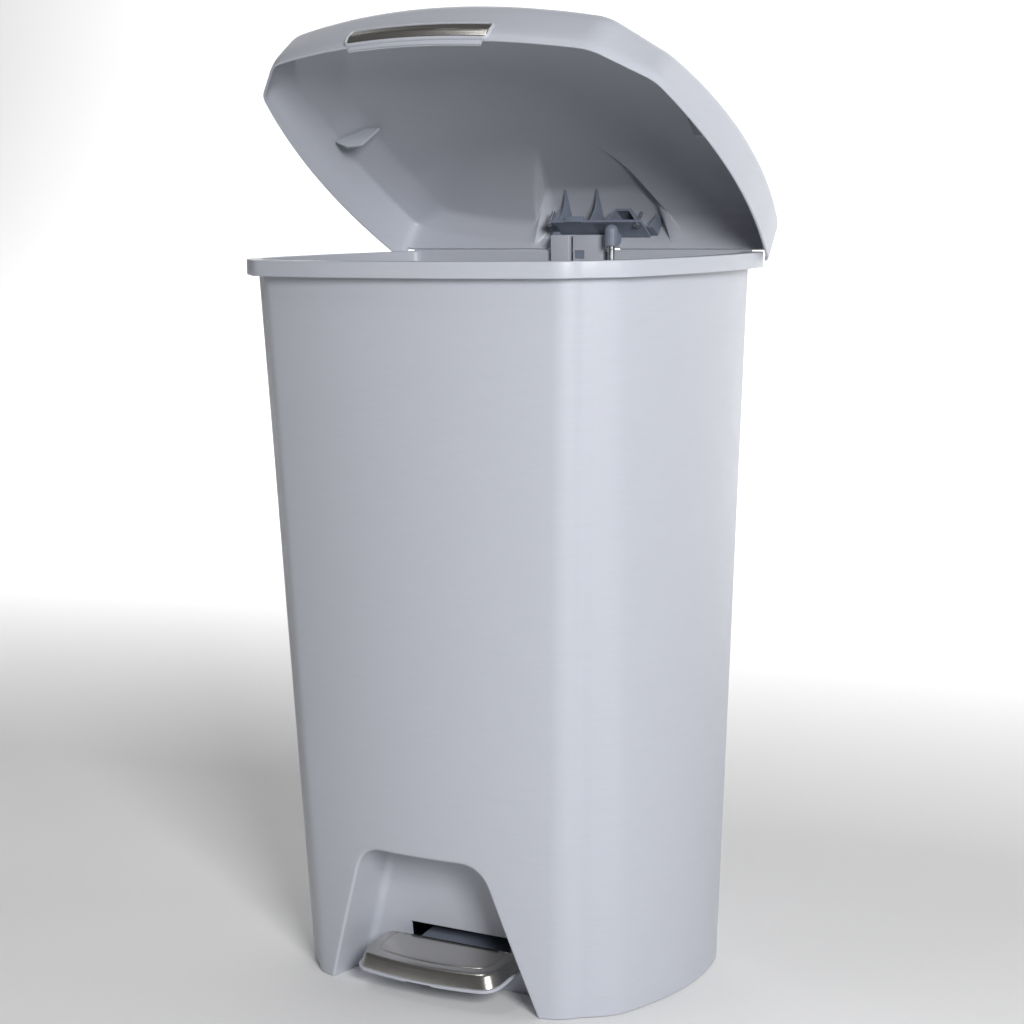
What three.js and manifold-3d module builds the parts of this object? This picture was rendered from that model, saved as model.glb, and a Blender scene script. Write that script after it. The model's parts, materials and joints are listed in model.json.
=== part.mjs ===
// Step-on trash can with a hinged, domed lid.
// Millimetres, +Z up, the front faces -Y, X runs across the width.
// The can is modelled with its lid held open by the pressed pedal.
import * as THREE from 'three';
import { mergeVertices } from 'three/addons/utils/BufferGeometryUtils.js';
import Module from 'manifold-3d';

const wasm = await Module();
wasm.setup();

// ---------------------------------------------------------------- sizes

// An outline is a bowed front, two chamfered corners, two bowed sides and a straight back.
// Halves are measured from the middle plane, frontY and chamferY forwards, rearY backwards.
const RIM = {
  frontHalf: 149.5, frontY: 154, frontBulge: 20,
  chamferHalf: 184.5, chamferY: 116.5,
  rearHalf: 179, rearY: 115, sideBulge: 16,
};
const FOOT = {
  frontHalf: 120.5, frontY: 123, frontBulge: 20,
  chamferHalf: 152.5, chamferY: 89.5,
  rearHalf: 147, rearY: 87, sideBulge: 16,
};
const CORNER_TRIM = { front: 14, side: 12, rear: 8 };

const rimHeight = 600;
const wall = 2.5;
const lipOverhang = 9;
const lipDepth = 13;
const lipWall = 2.2;
const floorTop = 62;
const floorThickness = 2.5;
const gap = 0.3;

// Toe recess in the front, a trapezoid with a leaning back wall.
const recess = {
  footHalf: FOOT.frontHalf - 19, topHalf: 58, height: 121, cornerTrim: 14,
  backY: 40 - FOOT.frontY, backLean: 0.115,
};
const slot = { half: 50, bottom: 17, top: 46 };

const basePlate = { thickness: 4, fit: 0.5 };
const screw = { headRadius: 4.4, headHeight: 1.6, shankRadius: 2, length: 16, sink: 0.4 };
const screwBossRadius = 5.5;
const baseScrews = [
  [FOOT.chamferHalf - 40.5, 33.5 - FOOT.chamferY], [FOOT.rearHalf - 43, FOOT.rearY - 25],
].flatMap(([x, y]) => [[-x, y], [x, y]]);

// Lid hinge, and the swing from the closed lid to the modelled pose.
const hinge = { y: RIM.rearY - 2.6, z: rimHeight + 9.7, pinRadius: 2, clearance: 0.4 };
const lidSwing = THREE.MathUtils.degToRad(36.5);
const hingeBlocks = { leftStart: -20, leftEnd: -1.5, rightStart: 2.6, rightEnd: 32.4 };
const hingeBlock = { frontY: RIM.rearY - 18, legBottom: rimHeight - 15, radius: 4.5, pinRise: 0.6 };
const latch = { width: 10, height: 7, depth: 3, bottom: rimHeight - 6, inFromEdge: 1.5, sunk: 0.6 };
const knuckle = { width: 7, radius: 4.5 };

const lidWall = 2.2;
const lidClearance = 2.8;
const lidRearSplay = 2.5;
const lidDrop = 8;
const lidSkirt = 39.5;
const lidUpright = 1.5;
const lidDraft = { frontHalf: -0.6, frontY: 10, chamferHalf: 6.5, chamferY: 15.7, rear: 1 };
const lidRingRise = 13.5;
const lidRingInset = 28;
const lidDomeRise = 10;
const lidRearCut = 4.3;
const lidHingeCut = 6;
const lidRearRoom = 4.5;
// The fin's corners, measured inwards from its outer edge and down from the shoulder.
const fin = {
  y: -12, thickness: 2.4, fromSkirt: 1, topInset: 42, kneeInset: 29, lowInset: 15,
  outerDrop: 5, kneeDrop: 9, lowDrop: 10,
};

// Push rod, which leans as the rear wall does.
const rod = { x: 46, radius: 3, reach: 22.8, capRadius: 6, capLength: 18, bore: 12, rest: 0.8 };

// Pedal lever, which swings on an axle under the raised floor.
const axle = { y: -22, z: 30, radius: 2.5, halfLength: 62, clearance: 0.4 };
const pedalTilt = THREE.MathUtils.degToRad(10.8);
const pedal = {
  bottomHalf: 70, topHalf: 61.5, frontY: FOOT.frontY + 20, frontBulge: 6, rearY: 14.5 - recess.backY,
  bottom: 39.9, lip: 2.5, lipStep: 1.5, top: 53.4, topInset: 5, corner: 14, sheet: 1,
};
const lever = {
  half: 44, bottom: 37, top: 43, tongueBottom: 41.6, tongueTop: 47, tongueInset: 7,
  stepFrom: 2, stepDepth: 4,
};
const leverArm = {
  left: rod.x - 20, right: rod.x + 12, bottom: 17, top: 23, ahead: 14, behind: 9,
  cheek: 2.5, cheekHeight: 8, clipRoom: 3,
};
const clip = { x: 55, width: 9, depth: 18, top: 37 };

// Guides and cover that the push rod runs behind.
const guide = { half: 10, height: 12, wall: 4, clearance: 0.4, lower: 150, upper: rimHeight - 80 };
const channel = { half: 19, wall: 1.8, flange: 6, bottom: floorTop + 2, top: rimHeight - 17 };

const handle = {
  half: 70, bottom: 0.8, height: 17.6, stand: 2.6, trimHalf: 66.5, trimHeight: 13.2, trimSheet: 1,
};

// ---------------------------------------------------------------- materials

const finish = (color, roughness, metalness) => ({ color, roughness, metalness });
const GREY = finish(0xb4b8c0, 0.45, 0);
const SLATE = finish(0x4d5563, 0.5, 0);
const STEEL = finish(0xc4c2bd, 0.3, 1);

// ---------------------------------------------------------------- helpers

// Turns a closed three.js geometry into a manifold solid.
function solid(geometry) {
  const bare = geometry.clone();
  bare.deleteAttribute('normal');
  bare.deleteAttribute('uv');
  const merged = mergeVertices(bare, 1e-4);
  return new wasm.Manifold(new wasm.Mesh({
    numProp: 3,
    vertProperties: new Float32Array(merged.attributes.position.array),
    triVerts: new Uint32Array(merged.index.array),
  }));
}

// Turns a manifold solid back into a three.js geometry.
function geometryOf(shape) {
  const mesh = shape.getMesh();
  const geometry = new THREE.BufferGeometry();
  geometry.setAttribute('position', new THREE.BufferAttribute(mesh.vertProperties, 3));
  geometry.setIndex(new THREE.BufferAttribute(mesh.triVerts, 1));
  geometry.computeVertexNormals();
  return geometry;
}

const union = (...shapes) => shapes.reduce((a, b) => a.add(b));
const cut = (shape, ...tools) => tools.reduce((a, b) => a.subtract(b), shape);

// A box between two corners.
function box(x0, x1, y0, y1, z0, z1) {
  const geometry = new THREE.BoxGeometry(x1 - x0, y1 - y0, z1 - z0);
  return solid(geometry.translate((x0 + x1) / 2, (y0 + y1) / 2, (z0 + z1) / 2));
}

// A cylinder along X between x0 and x1.
function barX(radius, x0, x1, y, z, sides = 20) {
  const geometry = new THREE.CylinderGeometry(radius, radius, x1 - x0, sides);
  return solid(geometry.rotateZ(Math.PI / 2).translate((x0 + x1) / 2, y, z));
}

// A cylinder along Z between z0 and z1.
function barZ(radius, x, y, z0, z1, sides = 20) {
  const geometry = new THREE.CylinderGeometry(radius, radius, z1 - z0, sides);
  return solid(geometry.rotateX(Math.PI / 2).translate(x, y, (z0 + z1) / 2));
}

// A plate of a shape drawn in Y and Z, between x0 and x1.
function plateX(points, x0, x1) {
  const shape = new THREE.Shape(points.map(([y, z]) => new THREE.Vector2(y, z)));
  const geometry = new THREE.ExtrudeGeometry(shape, { depth: x1 - x0, bevelEnabled: false });
  geometry.applyMatrix4(new THREE.Matrix4().set(0, 0, 1, x0, 1, 0, 0, 0, 0, 1, 0, 0, 0, 0, 0, 1));
  return solid(geometry);
}

// A plate of a shape drawn in X and Z, between y0 and y1.
function plateY(shape, y0, y1) {
  const options = { depth: y1 - y0, bevelEnabled: false, curveSegments: 4 };
  const geometry = new THREE.ExtrudeGeometry(shape, options);
  return solid(geometry.rotateX(Math.PI / 2).translate(0, y1, 0));
}

// Joins closed rings, listed from the lowest to the highest, into one solid with flat ends.
function loft(rings) {
  const count = rings[0].length;
  const vertices = rings.flat().flatMap((p) => [p.x, p.y, p.z]);
  const faces = [];
  for (let k = 0; k < rings.length - 1; k++) {
    for (let i = 0; i < count; i++) {
      const a = k * count + i;
      const b = k * count + (i + 1) % count;
      faces.push(a, b, b + count, a, b + count, a + count);
    }
  }
  const last = (rings.length - 1) * count;
  for (const [a, b, c] of THREE.ShapeUtils.triangulateShape(rings[0], [])) {
    faces.push(a, c, b);
  }
  for (const [a, b, c] of THREE.ShapeUtils.triangulateShape(rings.at(-1), [])) {
    faces.push(last + a, last + b, last + c);
  }
  const geometry = new THREE.BufferGeometry();
  geometry.setAttribute('position', new THREE.Float32BufferAttribute(vertices, 3));
  geometry.setIndex(faces);
  return solid(geometry);
}

// A stretch from a to b that bows outwards by bulge in its middle.
function bow(a, b, bulge) {
  const along = b.clone().sub(a);
  const length = along.length();
  const outward = new THREE.Vector2(along.y, -along.x).divideScalar(length);
  const at = (t) => a.clone().addScaledVector(along, t).addScaledVector(outward, 4 * bulge * t * (1 - t));
  return { at, length, end: b };
}

// The corner points and bows of an outline, as one closed loop of points at height z.
function ring(o, z) {
  const point = (x, y) => new THREE.Vector2(x, y);
  const corners = [
    [point(-o.frontHalf, -o.frontY), CORNER_TRIM.front, o.frontBulge, 8],
    [point(o.frontHalf, -o.frontY), CORNER_TRIM.front, 0, 1],
    [point(o.chamferHalf, -o.chamferY), CORNER_TRIM.side, o.sideBulge, 6],
    [point(o.rearHalf, o.rearY), CORNER_TRIM.rear, 0, 1],
    [point(-o.rearHalf, o.rearY), CORNER_TRIM.rear, o.sideBulge, 6],
    [point(-o.chamferHalf, -o.chamferY), CORNER_TRIM.side, 0, 1],
  ];
  const stretches = corners.map(([start, trim, bulge, steps], i) => {
    const [end, endTrim] = corners[(i + 1) % corners.length];
    const line = bow(start, end, bulge);
    return { ...line, steps, from: trim / line.length, to: 1 - endTrim / line.length };
  });
  const loop = [];
  stretches.forEach((line, i) => {
    for (let k = 0; k <= line.steps; k++) {
      loop.push(line.at(line.from + (line.to - line.from) * k / line.steps));
    }
    const next = stretches[(i + 1) % stretches.length];
    const turn = new THREE.QuadraticBezierCurve(line.at(line.to), line.end, next.at(next.from));
    loop.push(turn.getPoint(1 / 3), turn.getPoint(2 / 3));
  });
  return loop.map((p) => new THREE.Vector3(p.x, p.y, z));
}

// The outline moved outwards by d, or inwards when d is negative.
function grow(o, d) {
  return {
    ...o,
    frontHalf: o.frontHalf + 0.44 * d, frontY: o.frontY + d,
    chamferHalf: o.chamferHalf + d, chamferY: o.chamferY + 0.4 * d,
    rearHalf: o.rearHalf + d, rearY: o.rearY + d,
  };
}

function blend(a, b, t) {
  return Object.fromEntries(Object.keys(a).map((key) => [key, a[key] + (b[key] - a[key]) * t]));
}

// The body's outer outline at height z, moved outwards by d.
const NECK = grow(RIM, -lipOverhang);
const bodyOutline = (z, d = 0) => grow(blend(FOOT, NECK, z / rimHeight), d);
const rearFace = (z) => bodyOutline(z, -wall).rearY;
const wallLean = Math.atan((NECK.rearY - FOOT.rearY) / rimHeight);

// The solid between two heights inside the body's outline.
function bodyCore(z0, z1, d) {
  return loft([ring(bodyOutline(z0, d), z0), ring(bodyOutline(z1, d), z1)]);
}

// The toe recess, grown by d on its sides, top and back.
function recessBlock(d) {
  const slope = (recess.footHalf - recess.topHalf) / recess.height;
  const half = (z) => recess.footHalf - slope * z + d;
  const top = recess.height + d;
  const below = -10;
  const trim = recess.cornerTrim;
  const shape = new THREE.Shape();
  shape.moveTo(-half(below), below);
  shape.lineTo(half(below), below);
  shape.lineTo(half(top - trim), top - trim);
  shape.quadraticCurveTo(half(top), top, half(top) - trim, top);
  shape.lineTo(-half(top) + trim, top);
  shape.quadraticCurveTo(-half(top), top, -half(top - trim), top - trim);
  const lean = new THREE.Matrix4().makeShear(0, 0, 0, 0, 0, -recess.backLean);
  const depth = RIM.frontY + RIM.frontBulge;
  const geometry = new THREE.ExtrudeGeometry(shape, { depth, bevelEnabled: false, curveSegments: 4 });
  geometry.rotateX(Math.PI / 2).translate(0, recess.backY + d, 0).applyMatrix4(lean);
  return solid(geometry);
}

const parts = new THREE.Group();

// Adds a named mesh of a solid to a group.
function add(group, name, shape, look) {
  const mesh = new THREE.Mesh(geometryOf(shape), new THREE.MeshStandardMaterial(look));
  mesh.name = name;
  group.add(mesh);
}

// A group whose children keep the can's coordinates and turn about an axis along X.
function turned(y, z, angle) {
  const pivot = new THREE.Group();
  pivot.position.set(0, y, z);
  pivot.rotation.x = angle;
  const inner = new THREE.Group();
  inner.position.set(0, -y, -z);
  pivot.add(inner);
  parts.add(pivot);
  return inner;
}

// ---------------------------------------------------------------- bin

function binBody() {
  const outer = bodyCore(0, rimHeight, 0);
  const lip = loft([ring(RIM, rimHeight - lipDepth), ring(RIM, rimHeight)]);
  const lipInside = grow(RIM, -lipWall);
  const groove = loft([ring(lipInside, rimHeight - lipDepth - 1), ring(lipInside, rimHeight - lipWall)])
    .subtract(bodyCore(0, rimHeight + 1, 0));
  const housing = recessBlock(wall);
  const cavity = bodyCore(floorTop, rimHeight + 1, -wall).subtract(housing);
  const under = bodyCore(-1, floorTop - floorThickness, -wall).subtract(housing);
  const opening = box(-slot.half, slot.half, recess.backY - 15, recess.backY + 5, slot.bottom, slot.top);
  const floorHoleY = rodAt(floorTop).y;
  const rodHole = barZ(rod.capRadius + 2, rod.x, floorHoleY, floorTop - 6, floorTop + 6);
  const shell = cut(outer.add(lip), groove, cavity, under, recessBlock(0), opening, rodHole);
  const bosses = baseScrews.map(([x, y]) => cut(
    barZ(screwBossRadius, x, y, basePlate.thickness + gap, floorTop - 1, 12),
    barZ(screw.shankRadius + gap, x, y, 0, screw.length + 4, 12),
  ));
  return union(shell, ...bosses);
}

function bottomPlate() {
  const blank = bodyCore(0, basePlate.thickness, -wall - basePlate.fit);
  const room = recessBlock(wall + basePlate.fit);
  const holes = baseScrews.flatMap(([x, y]) => [
    barZ(screw.shankRadius + gap, x, y, -1, 10, 12),
    barZ(screw.headRadius + gap, x, y, -1, screw.sink + screw.headHeight + gap, 16),
  ]);
  return cut(blank, room, ...holes);
}

function baseScrew(x, y) {
  const headTop = screw.sink + screw.headHeight;
  return union(
    barZ(screw.headRadius, x, y, screw.sink, headTop, 16),
    barZ(screw.shankRadius, x, y, headTop - 0.5, headTop + screw.length, 12),
  );
}

function addBin() {
  const bin = new THREE.Group();
  parts.add(bin);
  add(bin, 'bin_body', binBody(), GREY);
  add(bin, 'base_plate', bottomPlate(), SLATE);
  baseScrews.forEach(([x, y], i) => add(bin, `base_screw_${i + 1}`, baseScrew(x, y), STEEL));
}

// ---------------------------------------------------------------- pedal

// A ring of the pedal's outline at height z: straight sides and back, bowed front.
function pedalRing(half, frontY, z) {
  const { rearY, frontBulge, corner } = pedal;
  const front = bow(new THREE.Vector2(-half, -frontY), new THREE.Vector2(half, -frontY), frontBulge);
  const from = corner / front.length;
  const side = (x) => new THREE.Vector2(x, -frontY + corner);
  const tip = (x) => new THREE.Vector2(x, -frontY);
  const loop = [];
  const left = new THREE.QuadraticBezierCurve(side(-half), tip(-half), front.at(from));
  const right = new THREE.QuadraticBezierCurve(front.at(1 - from), tip(half), side(half));
  loop.push(...left.getPoints(4));
  for (let k = 1; k < 6; k++) loop.push(front.at(from + (1 - 2 * from) * k / 6));
  loop.push(...right.getPoints(4), new THREE.Vector2(half, -rearY), new THREE.Vector2(-half, -rearY));
  return loop.map((p) => new THREE.Vector3(p.x, p.y, z));
}

// The pedal's block from its lip to its top, moved inwards by d on its sides and top.
function pedalBlock(d, bottom) {
  const skirt = pedal.bottom + pedal.lip;
  const inset = pedal.lipStep + d;
  const lower = (z) => pedalRing(pedal.bottomHalf - inset, pedal.frontY - inset, z);
  const upper = pedalRing(pedal.topHalf - d, pedal.frontY - pedal.topInset - d, pedal.top - d);
  const mid = lower(skirt + 0.5);
  return loft(bottom < skirt ? [lower(bottom), mid, upper] : [mid, upper]);
}

function pedalTread() {
  const lip = loft([pedal.bottom, pedal.bottom + pedal.lip].map((z) => (
    pedalRing(pedal.bottomHalf, pedal.frontY, z))));
  const block = pedalBlock(pedal.sheet + gap, pedal.bottom + 0.5);
  const pocket = box(-lever.half - gap, lever.half + gap, lever.tongueInset - pedal.frontY - gap,
    -pedal.rearY + 5, lever.tongueBottom - gap, lever.tongueTop + gap);
  return cut(lip.add(block), pocket);
}

function pedalCover() {
  const skirt = pedal.bottom + pedal.lip;
  const room = pedalBlock(pedal.sheet, skirt - 2);
  const front = box(-200, 200, -300, -pedal.rearY + 10, skirt + gap, pedal.top + 10);
  return pedalBlock(0, skirt - 1).intersect(front).subtract(room);
}

function pedalLever() {
  const across = [-lever.half, lever.half];
  const stepFront = lever.stepFrom - pedal.rearY;
  const stepRear = stepFront + lever.stepDepth;
  const tongue = box(...across, lever.tongueInset - pedal.frontY, stepRear,
    lever.tongueBottom, lever.tongueTop);
  const step = box(...across, stepFront, stepRear, lever.bottom, lever.tongueTop);
  const neck = box(...across, stepFront, axle.y, lever.bottom, lever.top);
  const hubRadius = lever.top - axle.z;
  const hub = barX(hubRadius, -lever.half, lever.half, axle.y, axle.z, 24);
  const foot = rodAt(axle.z);
  const armStart = axle.y + clip.depth / 2 + leverArm.clipRoom;
  const front = foot.y - leverArm.ahead;
  const rear = foot.y + leverArm.behind;
  const arm = box(leverArm.left, leverArm.right, armStart, rear, leverArm.bottom, leverArm.top);
  const bridge = box(leverArm.left, lever.half, axle.y, armStart + 4, leverArm.bottom, leverArm.top);
  const cheeks = [leverArm.right - leverArm.cheek, rod.x - (leverArm.right - rod.x)].map((x) => (
    box(x, x + leverArm.cheek, front, rear, leverArm.bottom, leverArm.top + leverArm.cheekHeight)));
  const bore = barX(axle.radius + axle.clearance, -lever.half - 1, lever.half + 1, axle.y, axle.z);
  return cut(union(tongue, step, neck, hub, arm, bridge, ...cheeks), bore);
}

function axleClip(x) {
  const block = box(x - clip.width / 2, x + clip.width / 2, axle.y - clip.depth / 2, axle.y + clip.depth / 2,
    basePlate.thickness + gap, clip.top);
  return cut(block, barX(axle.radius + axle.clearance, x - clip.width, x + clip.width, axle.y, axle.z));
}

function addPedal() {
  const swing = turned(axle.y, axle.z, pedalTilt);
  add(swing, 'pedal_lever', pedalLever(), SLATE);
  add(swing, 'pedal_tread', pedalTread(), GREY);
  add(swing, 'pedal_cover', pedalCover(), STEEL);
  add(parts, 'pedal_axle', barX(axle.radius, -axle.halfLength, axle.halfLength, axle.y, axle.z), STEEL);
  add(parts, 'axle_clip_left', axleClip(-clip.x), SLATE);
  add(parts, 'axle_clip_right', axleClip(clip.x), SLATE);
}

// ---------------------------------------------------------------- push rod

// The rod's middle line at height z.
function rodAt(z) {
  return new THREE.Vector3(rod.x, hinge.y - rod.reach + (z - hinge.z) * Math.tan(wallLean), z);
}

// A bar of round profile points [radius, height], standing on the rod's line from height z.
function onRod(profile, z) {
  const geometry = new THREE.LatheGeometry(profile.map(([r, h]) => new THREE.Vector2(r, h)), 20);
  const at = rodAt(z);
  geometry.rotateX(Math.PI / 2).rotateX(-wallLean).translate(at.x, at.y, at.z);
  return solid(geometry);
}

// Half a ball below a socket for the rod, from the ball's lowest point upwards.
function capProfile() {
  const r = rod.capRadius;
  const angles = [0, 1, 2, 3, 4, 5].map((i) => i * Math.PI / 10);
  const ball = angles.map((a) => [r * Math.sin(a), r - r * Math.cos(a)]);
  const bottom = rod.capLength - rod.bore;
  const bore = rod.radius + gap;
  return [...ball, [r, rod.capLength], [bore, rod.capLength], [bore, bottom], [0, bottom]];
}

// Heights of the two ball ends in the modelled pose.
const headCentre = hinge.z + rod.reach * Math.tan(lidSwing / 2);
const leverTop = axle.z + (leverArm.top - axle.z) / Math.cos(pedalTilt)
  + (rodAt(axle.z).y - axle.y) * Math.tan(pedalTilt);
const footBottom = leverTop + rod.rest;
const headTop = headCentre + rod.capRadius;

function addRod() {
  const foot = capProfile();
  const head = capProfile().map(([r, h]) => [r, rod.capLength - h]).reverse();
  const socket = rod.capLength - rod.bore + gap;
  const low = footBottom + socket;
  const length = headTop - socket - low;
  const bar = [[0, 0], [rod.radius, 0], [rod.radius, length], [0, length]];
  add(parts, 'rod_foot', onRod(foot, footBottom), SLATE);
  add(parts, 'rod_head', onRod(head, headTop - rod.capLength), SLATE);
  add(parts, 'push_rod', onRod(bar, low), STEEL);
}

// A box on the rear wall, drawn in a frame that leans with it.
// Depth is measured forwards from the wall's inner face, height along the wall.
function onWall(shape) {
  const geometry = geometryOf(shape);
  geometry.rotateX(-wallLean).translate(0, rearFace(0), 0);
  return solid(geometry);
}

// Distance from the rear wall's inner face to the rod's middle line, the same at every height.
const wallToRod = (rearFace(0) - rodAt(0).y) * Math.cos(wallLean);

function rodGuide(z) {
  const front = -wallToRod - rod.radius - guide.wall;
  const block = box(rod.x - guide.half, rod.x + guide.half, front, -gap, z, z + guide.height);
  return onWall(cut(block, barZ(rod.radius + guide.clearance, rod.x, -wallToRod, z - 1, z + guide.height + 1)));
}

function channelCover() {
  const { half, wall: sheet, flange, bottom, top } = channel;
  const depth = wallToRod + rod.radius + guide.wall + sheet;
  const corner = 5;
  const shape = new THREE.Shape();
  const side = (s, outer) => {
    const h = outer ? half : half - sheet;
    const d = outer ? depth : depth - sheet;
    return [[s * h, 0], [s * h, -d + corner], [s * (h - corner), -d]];
  };
  const outer = [[-half - flange, -sheet], ...side(-1, true).map(([x, y]) => [x, Math.min(y, -sheet)]),
    ...side(1, true).reverse().map(([x, y]) => [x, Math.min(y, -sheet)]), [half + flange, -sheet]];
  const inner = [[half + flange, 0], ...side(1, false), ...side(-1, false).reverse(), [-half - flange, 0]];
  shape.setFromPoints([...outer, ...inner].map(([x, y]) => new THREE.Vector2(x + rod.x, y - gap)));
  const geometry = new THREE.ExtrudeGeometry(shape, { depth: top - bottom, bevelEnabled: false });
  return onWall(solid(geometry.translate(0, 0, bottom)));
}

function addRodHousing() {
  add(parts, 'rod_guide_lower', rodGuide(guide.lower), SLATE);
  add(parts, 'rod_guide_upper', rodGuide(guide.upper), SLATE);
  add(parts, 'channel_cover', channelCover(), GREY);
}

// ---------------------------------------------------------------- hinge

function hingeBlockShape(x0, x1) {
  const top = hinge.z + hingeBlock.radius;
  const seat = rimHeight + gap;
  const legRear = rearFace(hingeBlock.legBottom) - gap;
  const cap = box(x0, x1, hingeBlock.frontY, hinge.y, seat, top);
  const leg = box(x0, x1, hingeBlock.frontY, legRear, hingeBlock.legBottom, top);
  const rear = barX(hingeBlock.radius, x0, x1, hinge.y, hinge.z, 24);
  const under = box(x0, x1, hinge.y - hingeBlock.radius, hinge.y - hingeBlock.pinRise, seat, hinge.z);
  const bore = barX(hinge.pinRadius + hinge.clearance, x0 - 1, x1 + 1, hinge.y, hinge.z);
  return cut(union(cap, leg, rear, under), bore);
}

function addHinge() {
  const { leftStart, leftEnd, rightStart, rightEnd } = hingeBlocks;
  const window = [rightStart + latch.inFromEdge, rightStart + latch.inFromEdge + latch.width];
  const pocket = box(window[0], window[1], hingeBlock.frontY - 1, hingeBlock.frontY + latch.depth,
    latch.bottom, latch.bottom + latch.height);
  const tab = box(window[0] + gap, window[1] - gap, hingeBlock.frontY + latch.sunk,
    hingeBlock.frontY + latch.depth - gap, latch.bottom + gap, latch.bottom + latch.height - gap);
  add(parts, 'hinge_block_left', hingeBlockShape(leftStart, leftEnd), GREY);
  add(parts, 'hinge_block_right', hingeBlockShape(rightStart, rightEnd).subtract(pocket), GREY);
  add(parts, 'hinge_latch', tab, SLATE);
  const pinStart = leftStart - gap - knuckle.width + 1;
  const pinEnd = rightEnd + gap + knuckle.width - 1;
  add(parts, 'hinge_pin', barX(hinge.pinRadius, pinStart, pinEnd, hinge.y, hinge.z), STEEL);
}

// ---------------------------------------------------------------- lid

const lidOffset = lidWall + lidClearance;
const edgeZ = rimHeight - lidDrop;
const shoulderZ = edgeZ + lidSkirt;
const uprightZ = rimHeight + lidUpright;
const EDGE = { ...grow(RIM, lidOffset), rearHalf: RIM.rearHalf + lidOffset + lidRearSplay };
const SHOULDER = {
  ...EDGE,
  frontHalf: EDGE.frontHalf - lidDraft.frontHalf, frontY: EDGE.frontY - lidDraft.frontY,
  chamferHalf: EDGE.chamferHalf - lidDraft.chamferHalf, chamferY: EDGE.chamferY - lidDraft.chamferY,
  rearHalf: EDGE.rearHalf - lidDraft.rear, rearY: EDGE.rearY - lidDraft.rear,
};
const CROWN = {
  ...grow(SHOULDER, -lidRingInset),
  frontHalf: SHOULDER.frontHalf - lidRingInset, chamferY: SHOULDER.chamferY - lidRingInset,
};

// A ring pulled towards the middle of the lid's top.
function shrink(loop, share, z) {
  const middle = (SHOULDER.rearY - SHOULDER.frontY) / 2;
  return loop.map((p) => new THREE.Vector3(p.x * share, middle + (p.y - middle) * share, z));
}

// The lid's body, moved inwards by d.
function lidBlock(d, bottom) {
  const crown = ring(grow(CROWN, -d), shoulderZ + lidRingRise - d);
  const top = shoulderZ + lidRingRise - d;
  return loft([
    ring(grow(EDGE, -d), bottom),
    ring(grow(EDGE, -d), uprightZ),
    ring(grow(SHOULDER, -d), shoulderZ - d),
    crown,
    shrink(crown, 0.55, top + 0.7 * lidDomeRise),
    shrink(crown, 0.15, top + lidDomeRise),
  ]);
}

// Height of the lid's inner face above its rear edge, at depth y.
function ceiling(y) {
  const share = (SHOULDER.rearY - lidWall - y) / (SHOULDER.rearY - CROWN.rearY);
  return shoulderZ + lidRingRise * Math.min(share, 1) - lidWall;
}

const bracket = {
  start: hingeBlocks.leftStart - gap - knuckle.width, end: 68,
  frontY: hinge.y - 20.4, rearY: hinge.y + 4.1, sheet: 2.5, ribs: [-15, 17], rib: 2.5,
  ribTip: hinge.y - 32.4, padFrom: 12, padTo: 34, pad: 3, cheek: 3, cheekDrop: 5,
  clearOfKnuckle: 0.9,
};
const bracketZ = hinge.z + hingeBlock.radius + bracket.clearOfKnuckle;
const bracketScrews = [
  [bracket.start + 3.5, bracket.frontY + 3], [bracket.end - 4.5, bracket.frontY + 5],
];
const smallScrew = { headRadius: 3, headHeight: 1.8, shankRadius: 1.5, length: 12, bossRadius: 4 };

function lidShell() {
  const shell = cut(lidBlock(0, edgeZ), lidBlock(lidWall, edgeZ - 1));
  const clear = RIM.rearHalf + lidRearRoom;
  const behind = [hinge.y - 12, EDGE.rearY + 5, edgeZ - 1];
  const rearCut = union(
    box(-clear, clear, ...behind, rimHeight + lidRearCut),
    box(bracket.start, hingeBlocks.rightEnd + gap + knuckle.width, ...behind, rimHeight + lidHingeCut),
  );
  const plateTop = bracketZ + bracket.sheet;
  const bosses = bracketScrews.map(([x, y]) => cut(
    barZ(smallScrew.bossRadius, x, y, plateTop + gap, ceiling(y) + 1, 12),
    barZ(smallScrew.shankRadius + gap, x, y, plateTop, plateTop + smallScrew.length, 12),
  ));
  return union(shell.subtract(rearCut), ...bosses);
}

function lidBracket() {
  const { start, end, frontY, rearY, sheet, rib, ribTip, cheek } = bracket;
  const plate = box(start, end, frontY, rearY, bracketZ, bracketZ + sheet);
  const gapUnder = 0.6;
  const ribs = bracket.ribs.map((x) => plateX([
    [frontY, bracketZ], [rearY, bracketZ], [rearY, ceiling(rearY) - gapUnder],
    [ribTip + 3, ceiling(ribTip + 3) - gapUnder], [ribTip, ceiling(ribTip) - 2 * gapUnder],
  ], x - rib / 2, x + rib / 2));
  const knuckles = [start, hingeBlocks.rightEnd + gap].map((x) => union(
    barX(knuckle.radius, x, x + knuckle.width, hinge.y, hinge.z, 24),
    box(x, x + knuckle.width, hinge.y - knuckle.radius, hinge.y + knuckle.radius - 1, hinge.z, bracketZ + 1),
  ));
  const bore = barX(hinge.pinRadius + hinge.clearance, start - 1, end, hinge.y, hinge.z);
  const holes = bracketScrews.map(([x, y]) => (
    barZ(smallScrew.shankRadius + gap, x, y, bracketZ - 1, bracketZ + sheet + 1, 12)));
  const window = box(rod.x - rod.capRadius - 1, rod.x + rod.capRadius + 1, hinge.y - bracket.padTo - 5,
    hinge.y - knuckle.radius - 3, bracketZ - 20, bracketZ + sheet + 1);
  return cut(union(plate.subtract(window), ...ribs, ...knuckles, rodPad(cheek)), bore, ...holes);
}

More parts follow.
